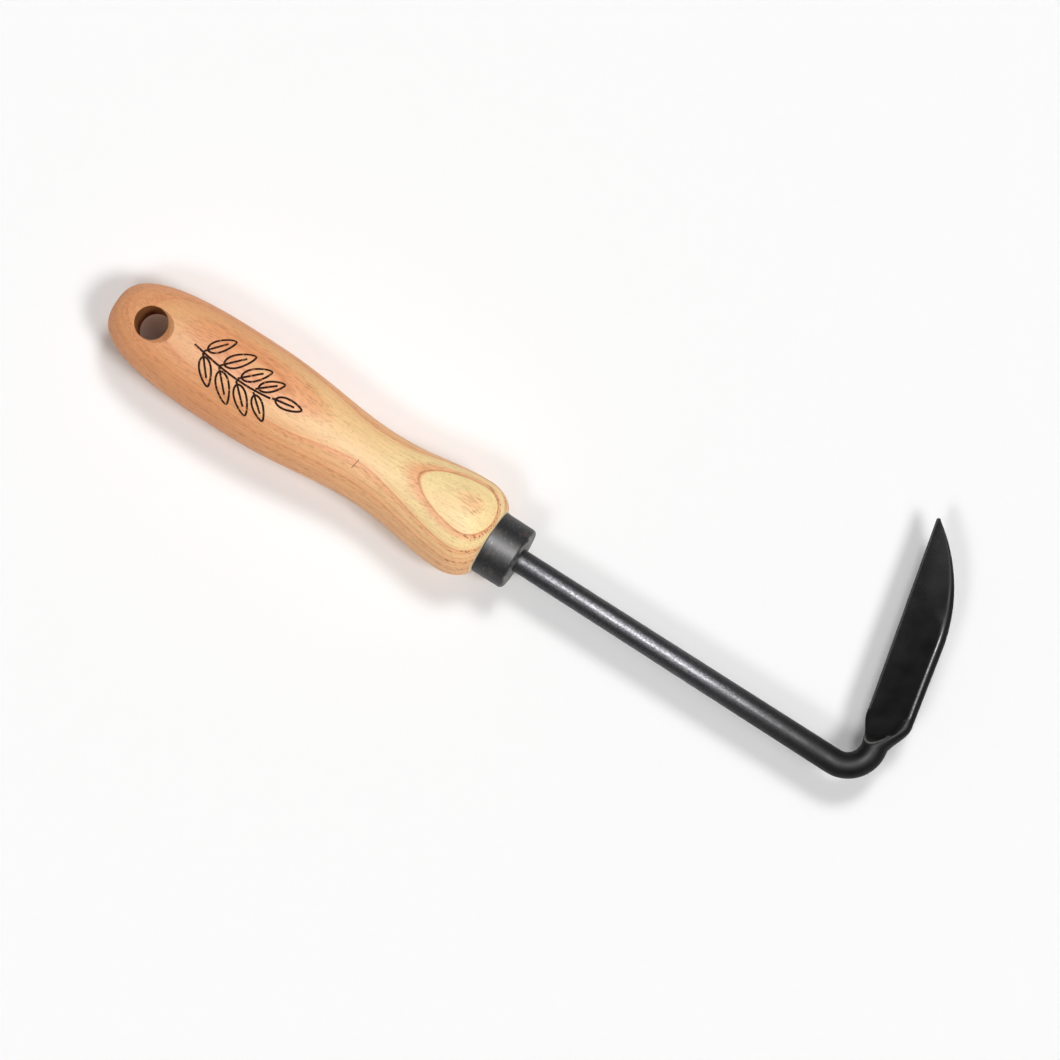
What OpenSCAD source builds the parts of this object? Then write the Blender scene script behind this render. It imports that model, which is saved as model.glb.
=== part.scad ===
// Draw hoe: a forged steel hook blade whose tang is driven into a turned ash handle behind a steel ferrule.
// The origin is the centre of the hang hole, on the handle's axis. +X runs along the tool to the blade,
// the blade points to +Y, and +Z is the way the hang hole opens.

/* [Handle] */
// Length of bare wood, from the butt to the ferrule's rear edge
handle_len = 143; // [115:1:175]
// Diameter at the palm swell
swell_d = 33.4; // [28:0.1:40]
// Distance from the butt to the middle of the palm swell
swell_from_butt = 49; // [36:1:60]
// Diameter at the waist
waist_d = 26.1; // [23.5:0.1:28]
// Distance from the ferrule's rear edge back to the waist
waist_from_ferrule = 44; // [34:1:54]
// Diameter at the front bulb
bulb_d = 33; // [28:0.1:40]
// Length of the rounded shoulder between the front bulb and the ferrule
shoulder_len = 9.6; // [7:0.1:13]
// How blunt the butt end is: 2 is an ellipse, and more is squarer
butt_bluntness = 2.9; // [2:0.1:4]

/* [Hang hole] */
// Diameter of the hang hole
hang_hole_d = 11; // [8:0.1:13.5]
// Distance from the butt to the centre of the hang hole
hang_hole_from_butt = 14.5; // [13:0.1:20]
// Depth of the countersink at each mouth of the hang hole
hang_hole_countersink = 1.3; // [0.6:0.1:2]

/* [Ferrule] */
// Outside diameter of the ferrule
ferrule_d = 21.7; // [18:0.1:26.5]
// Length of the ferrule
ferrule_len = 11.3; // [9:0.1:16]
// Wall of the ferrule
ferrule_wall = 1.2; // [0.8:0.1:2]
// Radius of the ferrule's front corner
ferrule_corner_r = 1.3; // [0.6:0.1:2]
// How much narrower the ferrule's front is than its rear, as a radius, so that it leaves the drawing die
ferrule_draft = 0.1; // [0:0.05:0.3]

/* [Shank and tang] */
// Diameter of the shank at the ferrule
shank_d = 7.9; // [6:0.1:9.5]
// Diameter of the shank where it enters the bend
shank_front_d = 8.6; // [6.5:0.1:10]
// Length of straight shank, from the ferrule's face to the bend
shank_len = 119.7; // [80:0.1:160]
// Length of round shank seated in the wood behind the ferrule's face
shank_seat_len = 9.5; // [6:0.1:16]
// Length of the square tang
tang_len = 62; // [45:1:75]
// Side of the square tang at its root
tang_root_w = 5.4; // [4.6:0.1:6]
// Side of the square tang at its tip
tang_tip_w = 2.8; // [2:0.1:4]

/* [Bend] */
// Radius of the bend, at the centre of the bar
bend_r = 9; // [7:0.1:14]
// How far the blade leans back over a right angle, towards the handle, in degrees
blade_lean = 12.7; // [0:0.1:20]

/* [Blade] */
// Length from the end of the bend to the blade's tip
blade_len = 76.2; // [60:0.1:95]
// Distance from the end of the bend to the heel, where the blade is at its full width
heel_from_bend = 9.6; // [7:0.1:13]
// Distance of the cutting edge from the neck's axis at the heel
edge_offset = 6.4; // [5:0.1:8]
// How much further from the neck's axis the cutting edge lies at the tip
edge_drift = 0.4; // [0:0.1:2]
// Distance of the spine from the neck's axis at the heel
spine_offset = 9.3; // [7:0.1:11]
// How much wider the blade is where its back starts to curve
spine_drift = 0.6; // [0:0.1:1.5]
// Distance from the end of the bend to where the back starts to curve towards the tip
back_curve_from_bend = 37.5; // [25:0.5:50]
// Thickness of the blade along its spine
spine_t = 4.4; // [3:0.1:6]
// Thickness of the blade at its cutting edge, before it is bevelled
edge_t = 1.1; // [0.8:0.1:1.8]
// Radius of the rounded tip
tip_r = 0.6; // [0.4:0.1:1]
// Turn of the blade about its own length, which sets the cutting edge below the spine, in degrees
blade_tilt = 12; // [5:0.5:20]
// Width of the bevel along the cutting edge
edge_bevel_w = 1; // [0.6:0.1:1.6]
// Angle of the bevel to the flat, in degrees
edge_bevel_angle = 35; // [20:1:45]

/* [Flat of the blade] */
// Depth of the flat that is pressed into the top of the blade
face_depth = 0.3; // [0.15:0.05:0.5]
// Distance from the end of the bend to the foot of the shoulder, where the flat starts
face_from_bend = 3.2; // [2:0.1:6]
// Angle of the shoulder between the flat and the neck, in degrees
face_shoulder_angle = 50; // [40:1:65]

/* [Fits] */
// Gap left between pieces that are seated on each other
seat_gap = 0.05; // [0.02:0.01:0.1]
// Radial clearance between the ferrule's front hole and the shank
ferrule_hole_gap = 0.2; // [0.1:0.05:0.5]
// Diameter of the pilot hole that is drilled for the tang
pilot_d = 6.2; // [5.4:0.1:6.6]
// Depth that the pilot hole goes past the tip of the tang
pilot_over = 3; // [1:0.5:6]

/* [Hidden] */
$fn = 96;

ash = "#e0aa6a";
ferrule_steel = "#55565a";
black_steel = "#232326";

// Places along the handle, from its butt
butt_x = -hang_hole_from_butt;
shoulder_x = butt_x + handle_len;
bulb_x = shoulder_x - shoulder_len;
waist_x = shoulder_x - waist_from_ferrule;
swell_x = butt_x + swell_from_butt;
shoulder_sweep = 72;
shoulder_ledge = 0.6;
swell_skew = 1.2;
bulb_skew = 1.1;

// The ferrule, and the tenon that fills it
ferrule_r = ferrule_d / 2;
ferrule_bore_r = ferrule_r - ferrule_wall;
ferrule_rear_x = shoulder_x + seat_gap;
ferrule_face_x = ferrule_rear_x + ferrule_len;
ferrule_floor_x = ferrule_face_x - ferrule_wall;
ferrule_rim_chamfer = 0.25;
tenon_r = ferrule_bore_r - seat_gap;
tenon_end_x = ferrule_floor_x - seat_gap;
tenon_chamfer = 0.8;

// The round shank tapers evenly from the bend back to the tang
shank_r = shank_d / 2;
shank_front_r = shank_front_d / 2;
shank_rear_x = ferrule_face_x - shank_seat_len;
shank_rear_r = shank_r + (shank_r - shank_front_r) * shank_seat_len / shank_len;
tang_tip_x = shank_rear_x - tang_len;
seat_bore_r = max(shank_r, shank_rear_r) + seat_gap;
pilot_end_x = tang_tip_x - pilot_over;
bend_x = ferrule_face_x + shank_len;

// The blade's forging starts just inside the end of the bend, and a little thinner
blade_root = -0.3;
neck_r = shank_front_r - 0.05;
spine_r = spine_t / 2;
edge_r = edge_t / 2;

// The back is one arc, from where it starts to curve to the tip
back_curve_len = blade_len - back_curve_from_bend;
back_curve_drop = spine_offset + spine_drift + edge_offset + edge_drift - 2 * tip_r;
back_curve_r = (pow(back_curve_len, 2) + pow(back_curve_drop, 2)) / (2 * back_curve_drop);

// The flat lies on the tangents of the spine's and the edge's rounds, sunk by its depth
blade_span = (spine_offset - spine_r + edge_offset - edge_r) / cos(blade_tilt);
face_tilt = blade_tilt + asin((spine_r - edge_r) / blade_span);
face_height = (spine_offset - spine_r) * (tan(blade_tilt) * cos(face_tilt) - sin(face_tilt))
    + spine_r - face_depth;
face_corner_w = spine_offset - 1.5 * spine_r;
face_corner_v = heel_from_bend - face_from_bend;

// Longer than the blade, for the blocks that cut it
cut_reach = 90;

profile_steps = 20;
arc_steps = 8;
blade_arc_points = 12;
blade_neck_rings = 16;
blade_back_rings = 12;
blade_tip_rings = 20;

function lerp(a, b, t) = a + (b - a) * t;
function clamp01(t) = min(1, max(0, t));
function smooth(t) = let (c = clamp01(t)) c * c * (3 - 2 * c);

// A half wave from radius r0 at x0 to radius r1 at x1. A skew over 1 makes the far end the steeper one.
function wave(x0, r0, x1, r1, skew) =
    [for (i = [1 : profile_steps])
        let (t = i / profile_steps)
        [lerp(x0, x1, t), lerp(r0, r1, (1 - cos(180 * pow(t, skew))) / 2)]];

// Radius of the butt end, at a share t of the way from the butt to the palm swell.
function butt_r(t) = swell_d / 2 * pow(1 - pow(1 - t, butt_bluntness), 1 / butt_bluntness);

// Points closely spaced at the butt, where the outline turns fastest.
function butt_outline() =
    [for (i = [0 : profile_steps])
        let (t = pow(i / profile_steps, 2))
        [lerp(butt_x, swell_x, t), butt_r(t)]];

// The shoulder is a stretch of an ellipse that ends on a narrow ledge outside the ferrule.
function shoulder_outline() =
    let (foot_r = ferrule_r + shoulder_ledge, rise = bulb_d / 2 - foot_r)
    [for (i = [1 : arc_steps])
        let (a = shoulder_sweep * i / arc_steps)
        [bulb_x + shoulder_len * sin(a) / sin(shoulder_sweep),
         foot_r + rise * (cos(a) - cos(shoulder_sweep)) / (1 - cos(shoulder_sweep))]];

function handle_outline() = concat(
    butt_outline(),
    wave(swell_x, swell_d / 2, waist_x, waist_d / 2, swell_skew),
    wave(waist_x, waist_d / 2, bulb_x, bulb_d / 2, bulb_skew),
    shoulder_outline(),
    [[shoulder_x, tenon_r],
     [tenon_end_x - tenon_chamfer, tenon_r],
     [tenon_end_x, tenon_r - tenon_chamfer],
     [tenon_end_x, 0]]);

// Outside of the ferrule from its rear rim to its face, then the inside back to the rim.
function ferrule_outline() =
    let (corner_x = ferrule_face_x - ferrule_corner_r,
         corner_h = ferrule_r - ferrule_draft - ferrule_corner_r,
         relief = tenon_chamfer / 2)
    concat(
        [[ferrule_rear_x, ferrule_bore_r + ferrule_rim_chamfer],
         [ferrule_rear_x, ferrule_r - ferrule_rim_chamfer],
         [ferrule_rear_x + ferrule_rim_chamfer, ferrule_r]],
        [for (i = [0 : arc_steps])
            let (a = 90 - 90 * i / arc_steps)
            [corner_x + ferrule_corner_r * cos(a), corner_h + ferrule_corner_r * sin(a)]],
        [[ferrule_face_x, 0],
         [ferrule_floor_x, 0],
         [ferrule_floor_x, ferrule_bore_r - relief],
         [ferrule_floor_x - relief, ferrule_bore_r],
         [ferrule_rear_x + ferrule_rim_chamfer, ferrule_bore_r]]);

// Turns an outline of [x, radius] points about the X axis.
module turned(points)
    rotate([0, 90, 0])
        rotate_extrude()
            polygon([for (p = points) [p[1], p[0]]]);

// A round bar along the X axis.
module bar(x, length, r_start, r_end)
    translate([x, 0, 0])
        rotate([0, 90, 0])
            cylinder(r1 = r_start, r2 = r_end, h = length);

// The square tang, from its tip to where it meets the round shank, grown by gap on each side.
module tang(gap)
    intersection() {
        tang_taper(gap);
        rotate([90, 0, 0]) tang_taper(gap);
    }

// The tang's taper seen from above. The same taper on its side cuts it to height.
module tang_taper(gap)
    linear_extrude(height = shank_d, center = true)
        polygon([
            [tang_tip_x - gap, -tang_tip_w / 2 - gap],
            [shank_rear_x + gap, -tang_root_w / 2 - gap],
            [shank_rear_x + gap, tang_root_w / 2 + gap],
            [tang_tip_x - gap, tang_tip_w / 2 + gap]]);

module hang_hole() {
    hole_r = hang_hole_d / 2;
    mouth_z = butt_r(hang_hole_from_butt / swell_from_butt) - hang_hole_countersink;
    cylinder(r = hole_r, h = 2 * swell_d, center = true);
    for (side = [0, 180])
        rotate([side, 0, 0])
            translate([0, 0, mouth_z])
                cylinder(r1 = hole_r, r2 = hole_r + hole_r, h = hole_r);
}

module handle()
    color(ash)
        difference() {
            turned(handle_outline());
            hang_hole();
            bar(shank_rear_x - seat_gap, 2 * shank_seat_len, seat_bore_r, seat_bore_r);
            bar(pilot_end_x, shank_rear_x - pilot_end_x, pilot_d / 2, pilot_d / 2);
            tang(seat_gap);
        }

module ferrule()
    color(ferrule_steel)
        difference() {
            turned(ferrule_outline());
            bar(ferrule_floor_x - ferrule_wall, 3 * ferrule_wall,
                shank_r + ferrule_hole_gap, shank_r + ferrule_hole_gap);
        }

// The share of the way from the neck to the heel at a distance v from the end of the bend.
function spread(v) = clamp01((v - blade_root) / (heel_from_bend - blade_root));

// The blade's outline in plan. The spine's side swells out at once, and the cutting edge's side later.
function spine_w(v) =
    let (t = spread(v), along = max(0, v - back_curve_from_bend))
    lerp(neck_r, spine_offset, (sin(90 * t) + smooth(t)) / 2)
        + spine_drift * clamp01((v - heel_from_bend) / (back_curve_from_bend - heel_from_bend))
        - back_curve_r + sqrt(pow(back_curve_r, 2) - pow(along, 2));
function edge_w(v) =
    -lerp(neck_r, edge_offset, smooth(spread(v)))
        - edge_drift * clamp01((v - heel_from_bend) / (blade_len - heel_from_bend));

// Radii of the rounded spine and the rounded edge. Both start as the neck's own and end as the tip's.
function thin(v) = smooth((v - back_curve_from_bend) / back_curve_len);
function spine_round(v) = lerp(lerp(neck_r, spine_r, smooth(spread(v))), tip_r, thin(v));
function edge_round(v) = lerp(lerp(neck_r, edge_r, smooth(spread(v))), min(tip_r, edge_r), thin(v));

// One section of the forging: two circles, at the spine and at the edge, wrapped by their tangents.
function section(v) =
    let (rs = spine_round(v), re = edge_round(v), lean = blade_tilt * smooth(spread(v)),
         ws = (spine_w(v) - rs) / cos(lean), we = (edge_w(v) + re) / cos(lean),
         wrap = 90 + asin((rs - re) / max(ws - we, 2 * abs(rs - re), tip_r)), n = blade_arc_points)
    [for (i = [0 : 2 * n])
        let (at_spine = i <= n, r = at_spine ? rs : re,
             a = at_spine ? lerp(-wrap, wrap, i / n) : lerp(wrap, 360 - wrap, (i - n - 0.5) / n),
             w = (at_spine ? ws : we) + r * cos(a), z = r * sin(a))
        [w * cos(lean) - z * sin(lean), v, w * sin(lean) + z * cos(lean)]];

blade_stations = concat(
    [for (i = [0 : blade_neck_rings]) lerp(blade_root, heel_from_bend, i / blade_neck_rings)],
    [for (i = [1 : blade_back_rings]) lerp(heel_from_bend, back_curve_from_bend, i / blade_back_rings)],
    [for (i = [1 : blade_tip_rings]) lerp(back_curve_from_bend, blade_len, i / blade_tip_rings)]);

// Joins closed rings of equal length into one solid with flat ends.
module loft(rings) {
    m = len(rings[0]);
    last = len(rings) - 1;
    polyhedron(
        points = [for (ring = rings) each ring],
        faces = concat(
            [[for (i = [m - 1 : -1 : 0]) i]],
            [for (k = [0 : last - 1], i = [0 : m - 1])
                [k * m + i, k * m + (i + 1) % m, (k + 1) * m + (i + 1) % m, (k + 1) * m + i]],
            [[for (i = [0 : m - 1]) last * m + i]]));
}

// Puts its children on the flat, with Z square to it.
module on_face() rotate([0, -face_tilt, 0]) translate([0, 0, face_height]) children();

// The flat in plan: it starts square to the blade on the edge's side and curves up to meet the spine.
function face_outline() = concat(
    [for (i = [0 : arc_steps])
        let (a = 90 * i / arc_steps)
        [lerp(-spine_r, face_corner_w, sin(a)), face_corner_v * (1 - cos(a))]],
    [[cut_reach, face_corner_v + cut_reach], [-cut_reach, face_corner_v + cut_reach], [-cut_reach, 0]]);

// Everything above the flat, back to a shoulder that slopes up to the neck.
module face_cut()
    on_face()
        intersection() {
            translate([-cut_reach, -cut_reach, 0]) cube(2 * cut_reach);
            translate([0, face_from_bend, 0])
                rotate([90 - face_shoulder_angle, 0, 0])
                    linear_extrude(height = 4 * cut_reach, center = true)
                        polygon([for (p = face_outline()) [p[0], p[1] * sin(face_shoulder_angle)]]);
        }

// Everything above the bevel, which runs along the cutting edge from the heel to the tip.
module edge_bevel_cut()
    on_face()
        translate([-(edge_offset - edge_bevel_w) / cos(face_tilt), heel_from_bend, 0])
            rotate([0, -edge_bevel_angle, atan(edge_drift / (blade_len - heel_from_bend))])
                translate([-cut_reach, 0, 0])
                    cube(cut_reach);

module blade()
    difference() {
        loft([for (v = blade_stations) section(v)]);
        face_cut();
        edge_bevel_cut();
    }

module bend()
    rotate([0, 0, -90])
        rotate_extrude(angle = 90 + blade_lean)
            translate([bend_r, 0]) circle(r = shank_front_r);

module forged_head()
    color(black_steel)
        union() {
            tang(0);
            bar(shank_rear_x, bend_x - shank_rear_x, shank_rear_r, shank_front_r);
            translate([bend_x, bend_r, 0]) {
                bend();
                rotate([0, 0, blade_lean]) translate([bend_r, 0, 0]) blade();
            }
        }

handle();
ferrule();
forged_head();
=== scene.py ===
"""A one-hand draw hoe: a forged hook blade, a turned ash handle and a drawn steel ferrule."""

import math
from contextlib import contextmanager
from functools import partial

import bmesh
import bpy
import numpy as np
from bpy.props import FloatProperty, FloatVectorProperty, PointerProperty
from mathutils import Matrix, Vector


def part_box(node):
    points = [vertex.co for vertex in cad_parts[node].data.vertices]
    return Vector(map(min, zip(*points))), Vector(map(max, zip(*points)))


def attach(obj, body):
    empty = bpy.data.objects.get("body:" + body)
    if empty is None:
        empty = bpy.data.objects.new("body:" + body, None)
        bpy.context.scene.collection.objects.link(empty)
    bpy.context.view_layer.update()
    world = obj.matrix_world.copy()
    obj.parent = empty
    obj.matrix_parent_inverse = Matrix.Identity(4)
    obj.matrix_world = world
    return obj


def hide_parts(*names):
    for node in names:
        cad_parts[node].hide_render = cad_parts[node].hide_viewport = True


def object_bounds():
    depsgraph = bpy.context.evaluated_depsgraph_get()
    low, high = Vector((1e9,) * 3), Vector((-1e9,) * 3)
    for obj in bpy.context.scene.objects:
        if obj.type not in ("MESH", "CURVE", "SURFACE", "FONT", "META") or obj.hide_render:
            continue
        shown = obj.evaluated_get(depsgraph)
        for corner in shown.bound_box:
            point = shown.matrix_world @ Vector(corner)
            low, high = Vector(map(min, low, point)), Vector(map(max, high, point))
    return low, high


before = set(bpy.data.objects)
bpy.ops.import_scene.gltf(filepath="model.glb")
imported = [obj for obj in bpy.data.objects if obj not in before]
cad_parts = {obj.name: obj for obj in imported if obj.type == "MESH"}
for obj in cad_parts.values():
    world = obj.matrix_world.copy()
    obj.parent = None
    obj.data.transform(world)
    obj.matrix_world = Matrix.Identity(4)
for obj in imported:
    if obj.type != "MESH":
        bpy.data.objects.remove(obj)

bl_info = {
    "name": "Draw hoe",
    "version": (1, 0, 0),
    "blender": (4, 5, 0),
    "location": "3D View > Sidebar > Draw hoe",
    "description": "Models a one-hand draw hoe with an ash handle, a steel ferrule and a forged blade",
    "category": "Add Mesh",
}

MM = 0.001
FIT = 0.05 * MM      # what a tight fit leaves open all round
MERGE = 0.001 * MM   # vertices closer than this are one
CAD_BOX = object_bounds()
HANDLE_LOW, HANDLE_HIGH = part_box("handle")
FERRULE_LOW, FERRULE_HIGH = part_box("ferrule")
HEAD_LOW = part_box("forged_head")[0]


# -------- sizes and colours

def linear(hex_colour):
    """The linear red, green, blue and alpha of an sRGB hex colour."""
    shares = [int(hex_colour[i:i + 2], 16) / 255 for i in (1, 3, 5)]
    return [s / 12.92 if s <= 0.04045 else ((s + 0.055) / 1.055) ** 2.4 for s in shares] + [1.0]


def length(name, description, metres):
    """A length that a user may change."""
    return FloatProperty(name=name, description=description, default=metres, min=0, precision=5, unit="LENGTH")


def angle(name, description, degrees):
    """An angle that a user may change."""
    return FloatProperty(name=name, description=description, default=math.radians(degrees), unit="ROTATION")


def share(name, description, value):
    """A plain number that a user may change."""
    return FloatProperty(name=name, description=description, default=value, min=0)


def colour(name, description, hex_colour):
    """A colour that a user may change."""
    return FloatVectorProperty(name=name, description=description, default=linear(hex_colour),
                               size=4, min=0, max=1, subtype="COLOR")


class HandleSettings(bpy.types.PropertyGroup):
    """The turned ash handle. Its ends come from the CAD handle's box."""
    swell_d: length("Palm swell", "Diameter at the palm swell", 2 * HANDLE_HIGH.z)
    swell_from_butt: length("Palm swell place", "Distance from the butt to the palm swell", 49 * MM)
    swell_skew: share("Palm swell skew", "Over 1 makes the waist's end of the long curve the steeper one", 1.2)
    waist_d: length("Waist", "Diameter at the waist", 26.1 * MM)
    waist_from_ferrule: length("Waist place", "Distance from the ferrule back to the waist", 44 * MM)
    bulb_d: length("Front bulb", "Diameter at the front bulb", 33 * MM)
    bulb_skew: share("Front bulb skew", "Over 1 makes the bulb's end of the curve the steeper one", 1.1)
    shoulder_length: length("Shoulder", "Length of the round shoulder behind the ferrule", 9.6 * MM)
    shoulder_sweep: angle("Shoulder sweep", "How much of a quarter turn the shoulder's round takes", 72)
    shoulder_ledge: length("Ledge", "How far the wood stands proud of the ferrule", 0.6 * MM)
    butt_bluntness: share("Butt bluntness", "2 is an ellipse, and more is squarer", 2.9)
    hole_d: length("Hang hole", "Diameter of the hang hole", 11 * MM)
    hole_mouth: length("Countersink foot", "Height above the axis at which the countersink starts", 13.006 * MM)
    pilot_d: length("Pilot hole", "Diameter of the hole drilled for the tang", 6.2 * MM)
    seat_bore_d: length("Seat bore", "Diameter of the bore for the shank's seat", 8 * MM)
    mark_width: length("Burned line", "Width of the burned sprig's lines", 0.75 * MM)
    straw: colour("Straw", "Pale straw of the dense wood in each ring", "#ffe6a6")
    honey: colour("Honey", "Warm honey of the open wood in each ring", "#fbbd87")
    line: colour("Ring line", "Orange-brown line where one year's ring ends", "#d08448")
    pores: colour("Pores", "Red-brown shade in the open pores", "#a05a2c")
    tan: colour("Tan", "Orange tan that the board takes towards the butt", "#e6955e")
    scraped: colour("Scraped", "Pale wood that the ferrule has scraped at its edge", "#f3d9ae")
    char: colour("Char", "Scorched wood in the burned lines", "#33170c")


class FerruleSettings(bpy.types.PropertyGroup):
    """The drawn steel cup on the handle's tenon. Its ends and its radius come from the CAD ferrule's box."""
    wall: length("Wall", "Thickness of the steel", 1.2 * MM)
    corner: length("Front corner", "Radius of the drawn front corner", 1.3 * MM)
    draft: length("Draft", "How much smaller the front's radius is than the rear's", 0.1 * MM)
    rim_chamfer: length("Rim chamfer", "Chamfer on the rear rim", 0.25 * MM)
    hole_d: length("Shank hole", "Diameter of the hole for the shank", 8.3 * MM)
    steel: colour("Ferrule steel", "Dark browned steel", "#1e1e20")
    bloom: colour("Bloom", "Red-brown bloom left from the browning", "#5b4740")
    bare: colour("Bare steel", "Steel rubbed bare on the rims and in scratches", "#a9a7a3")


class HeadSettings(bpy.types.PropertyGroup):
    """The one-piece forging: tang, shank, bend, neck and blade."""
    shank_d: length("Shank", "Diameter of the shank at the ferrule", 7.9 * MM)
    shank_front_d: length("Shank front", "Diameter of the bar where it enters the bend", 8.6 * MM)
    shank_seat: length("Shank seat", "Length of round shank behind the ferrule's face", 9.5 * MM)
    shank_length: length("Shank length", "Length from the ferrule's face to the bend", 119.7 * MM)
    tang_root: length("Tang root", "Side of the square tang at its root", 5.4 * MM)
    tang_tip: length("Tang tip", "Side of the square tang at its tip", 2.8 * MM)
    bend_radius: length("Bend radius", "Radius of the bend at the bar's centre", 9 * MM)
    lean: angle("Blade lean", "How far the blade leans back over a right angle", 12.7)
    blade_length: length("Blade length", "Length from the bend's end to the tip", 76.2 * MM)
    heel: length("Heel", "Distance from the bend's end to the blade's full width", 9.6 * MM)
    edge_offset: length("Edge offset", "Distance of the cutting edge from the neck's axis", 6.4 * MM)
    edge_drift: length("Edge drift", "How much further out the edge lies at the tip", 0.4 * MM)
    spine_offset: length("Spine offset", "Distance of the spine from the neck's axis", 9.3 * MM)
    spine_drift: length("Spine drift", "How much wider the blade is where its back starts to curve", 0.6 * MM)
    back_curve: length("Back curve", "Distance from the bend's end to where the back starts to curve", 37.5 * MM)
    spine_t: length("Spine thickness", "Thickness of the blade along its spine", 4.4 * MM)
    edge_t: length("Edge thickness", "Thickness of the blade at its edge, before its bevel", 1.1 * MM)
    tip_radius: length("Tip radius", "Radius of the rounded tip", 0.6 * MM)
    blade_tilt: angle("Blade tilt", "Turn of the blade about its own length", 12)
    bevel_width: length("Bevel width", "Width of the ground bevel along the cutting edge", 1 * MM)
    bevel_angle: angle("Bevel angle", "Angle of the bevel to the flat", 35)
    face_depth: length("Flat depth", "Depth of the flat pressed into the blade's top", 0.3 * MM)
    face_start: length("Flat start", "Distance from the bend's end to the foot of the flat's shoulder", 3.2 * MM)
    face_shoulder: angle("Flat shoulder", "Slope of the shoulder between the flat and the neck", 50)
    scale: colour("Forge scale", "Black oxide left by the forge and quench", "#0d0c0c")
    handled: colour("Handled scale", "Black oxide polished by handling on the shank", "#505052")
    # Bare steel also paints a highlight along the blade's ridges.
    bare: colour("Bare steel", "Steel rubbed bare on ridges and edges", "#918f8d")


class StageSettings(bpy.types.PropertyGroup):
    """The floor, the light and the camera."""
    floor_size: length("Floor", "Side of the square floor", 12)
    floor: colour("Floor colour", "White matt floor", "#fdfdfd")
    key_level: share("Key light", "Share of the light that comes from the key lamp", 0.44)
    key_tilt: angle("Key tilt", "Tilt of the key lamp from straight above, towards the blade", 30)
    left_level: share("Left light", "Share of the light that comes from the lamp on the blade's side", 0.36)
    right_level: share("Right light", "Share of the light that comes from the lamp on the other side", 0.19)
    side_tilt: angle("Side tilt", "Tilt of each side lamp from straight above, across the tool", 27)
    softness: angle("Softness", "Width of the key and side lamps as the tool sees them", 15)
    sheen_level: share("Sheen light", "Strength of the lamp overhead, which shows only in gloss", 2.0)
    sheen_width: angle("Sheen width", "Width of the sheen lamp as the tool sees it", 20)
    sheen_tilt: angle("Sheen tilt", "Tilt of the sheen lamp from straight above, towards the blade's side", 3)
    fill_level: share("Fill light", "Share of the light that comes from all round", 0.11)
    view_tilt: angle("View tilt", "Tilt of the view from straight above, towards the blade", 5.5)
    view_swing: angle("View swing", "Swing of the view away from the blade's side", 3)
    view_roll: angle("View roll", "Roll of the camera that lays the tool across the picture", 32.585)
    view_width: length("View width", "Width of what the camera sees at the tool", 339.83 * MM)
    view_right: length("View right", "Centre of the view to the right of the hang hole", 120.8 * MM)
    view_down: length("View down", "Centre of the view below the hang hole", 65.24 * MM)
    lens: share("Lens", "Focal length of the camera in millimetres", 600)


# -------- modelling by hand

def only(piece):
    """Select one object and nothing else."""
    bpy.ops.object.select_all(action="DESELECT")
    piece.select_set(True)
    bpy.context.view_layer.objects.active = piece


@contextmanager
def edit_mode():
    """Edit mode for the length of a with block."""
    bpy.ops.object.mode_set(mode="EDIT")
    yield
    bpy.ops.object.mode_set(mode="OBJECT")


def pick(piece, choose, kind="verts"):
    """In edit mode, select just the vertices, edges or faces whose middle a test chooses."""
    bpy.ops.mesh.select_mode(type={"verts": "VERT", "edges": "EDGE", "faces": "FACE"}[kind])
    bpy.ops.mesh.select_all(action="DESELECT")
    mesh = bmesh.from_edit_mesh(piece.data)
    for part in getattr(mesh, kind):
        if kind == "verts":
            middle = part.co
        elif kind == "edges":
            middle = (part.verts[0].co + part.verts[1].co) / 2
        else:
            middle = part.calc_center_median()
        part.select_set(choose(middle))
    mesh.select_flush_mode()
    bmesh.update_edit_mesh(piece.data)


def chain(name, places):
    """A chain of edges through the places: one vertex, extruded from place to place."""
    bpy.ops.object.select_all(action="DESELECT")
    bpy.ops.mesh.primitive_plane_add(size=MM, location=places[0])
    piece = bpy.context.object
    piece.name = name
    bpy.ops.object.transform_apply()
    with edit_mode():
        bpy.ops.mesh.select_all(action="SELECT")
        bpy.ops.mesh.merge(type="CENTER")
        for here, there in zip(places, places[1:]):
            step = Vector(there) - Vector(here)
            bpy.ops.mesh.extrude_vertices_move(TRANSFORM_OT_translate={"value": step})
        bpy.ops.mesh.select_all(action="SELECT")
        bpy.ops.mesh.remove_doubles(threshold=MERGE)
    return piece


def close_up(threshold):
    """In edit mode, merge the vertices that meet, and turn every face outwards."""
    bpy.ops.mesh.select_all(action="SELECT")
    bpy.ops.mesh.remove_doubles(threshold=threshold)
    bpy.ops.mesh.normals_make_consistent(inside=False)


def turned(name, outline, upright=False, steps=180):
    """A piece turned from an outline of (place along the axis, radius). The axis is X, or Z if upright."""
    places = [(r, 0, h) if upright else (h, 0, r) for h, r in outline]
    piece = chain(name, places)
    with edit_mode():
        bpy.ops.mesh.select_all(action="SELECT")
        bpy.ops.mesh.spin(steps=steps, angle=math.tau, center=(0, 0, 0), axis=(0, 0, 1) if upright else (1, 0, 0))
        close_up(MERGE)
    return piece


def give(piece, *materials):
    """Give the active piece a slot for each material."""
    for material in materials:
        bpy.ops.object.material_slot_add()
        piece.material_slots[-1].material = material


def cut(piece, cutter):
    """Cut one piece out of another. What the cut bares takes the cutter's material."""
    only(piece)
    bpy.ops.object.modifier_add(type="BOOLEAN")
    boolean = piece.modifiers[-1]
    boolean.operation = "DIFFERENCE"
    boolean.solver = "EXACT"
    boolean.material_mode = "TRANSFER"
    boolean.object = cutter
    bpy.ops.object.modifier_apply(modifier=boolean.name)
    bpy.data.objects.remove(cutter, do_unlink=True)


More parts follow.
